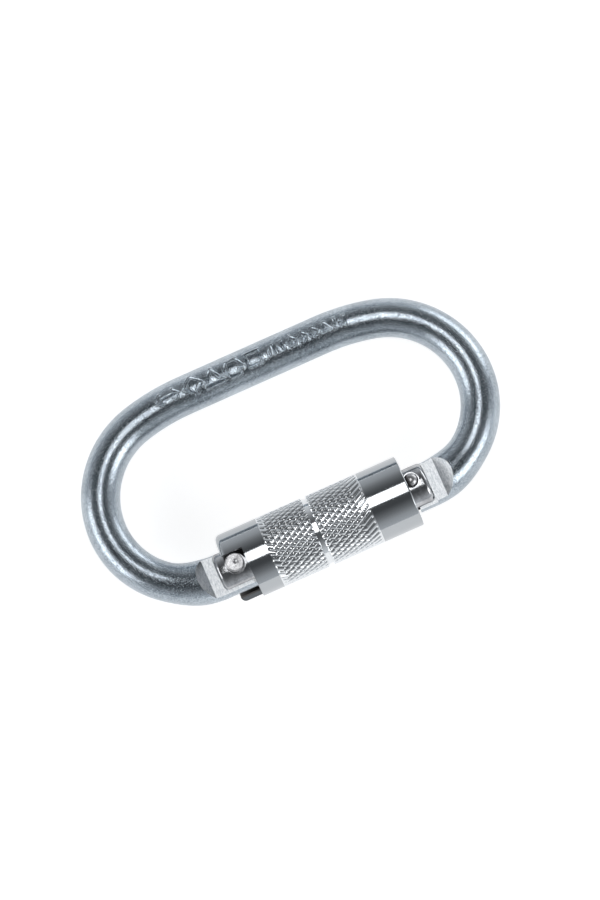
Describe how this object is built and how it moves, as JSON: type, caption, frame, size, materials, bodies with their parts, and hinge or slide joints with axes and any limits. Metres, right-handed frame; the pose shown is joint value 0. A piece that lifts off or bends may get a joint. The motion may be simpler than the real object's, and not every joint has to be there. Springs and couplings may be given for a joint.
{
  "type": "auto-locking carabiner",
  "caption": "Steel oval safety carabiner: a bent round bar closed by a hinged gate with a spring-return knurled lock sleeve.",
  "frame": {"origin": "middle of the bounding box in X and Y, on the lowest line of the lock sleeve, with the carabiner lying flat", "axes": "+X along the gate from its hinge to its nose, +Y from the gate to the spine, +Z out of the loop's plane on the side that carries the marks and the tall pin head"},
  "size_m": [0.1102, 0.0598, 0.0187],
  "materials": {
    "zinc_body": "bright bluish zinc plate, semi-gloss with a fine grain",
    "turned_steel": "turned, fine rings, satin",
    "rivet_steel": "pressed rivet head, light satin",
    "polished_sleeve": "bright plated, polished end bands and diamond knurl",
    "spring_steel": "drawn wire, oiled"
  },
  "bodies": {
    "frame_bar": {"body": "zinc_body"},
    "gate": {"gate_barrel": "turned_steel", "hinge_pin": "rivet_steel", "latch_pin": "rivet_steel", "guide_ring": "turned_steel", "gate_spring": "spring_steel"},
    "sleeve": {"lock_sleeve": "polished_sleeve", "sleeve_spring": "spring_steel"},
    "plunger": {"gate_plunger": "turned_steel"}
  },
  "joints": [
    {"name": "gate_swing", "type": "hinge", "parent": "frame_bar", "child": "gate", "pos_m": [-0.0237, -0.02032, 0.00935], "axis": [0, 0, 1], "range_deg": [0, 30], "stiffness_Nm_per_rad": 0.12, "springref_deg": -34.38, "deforming": ["gate_spring"]},
    {"name": "sleeve_turn", "type": "hinge", "parent": "gate", "child": "sleeve", "pos_m": [0, -0.02057, 0.00935], "axis": [-1, 0, 0], "range_deg": [0, 100], "stiffness_Nm_per_rad": 0.02, "springref_deg": -45.84, "deforming": ["sleeve_spring"]},
    {"name": "plunger_slide", "type": "slide", "parent": "gate", "child": "plunger", "axis": [1, 0, 0], "range_m": [0, 0.0009]}
  ],
  "couplings": [
    {"joint": "plunger_slide", "follows": "gate_swing", "m_per_rad": 0.0016}
  ]
}
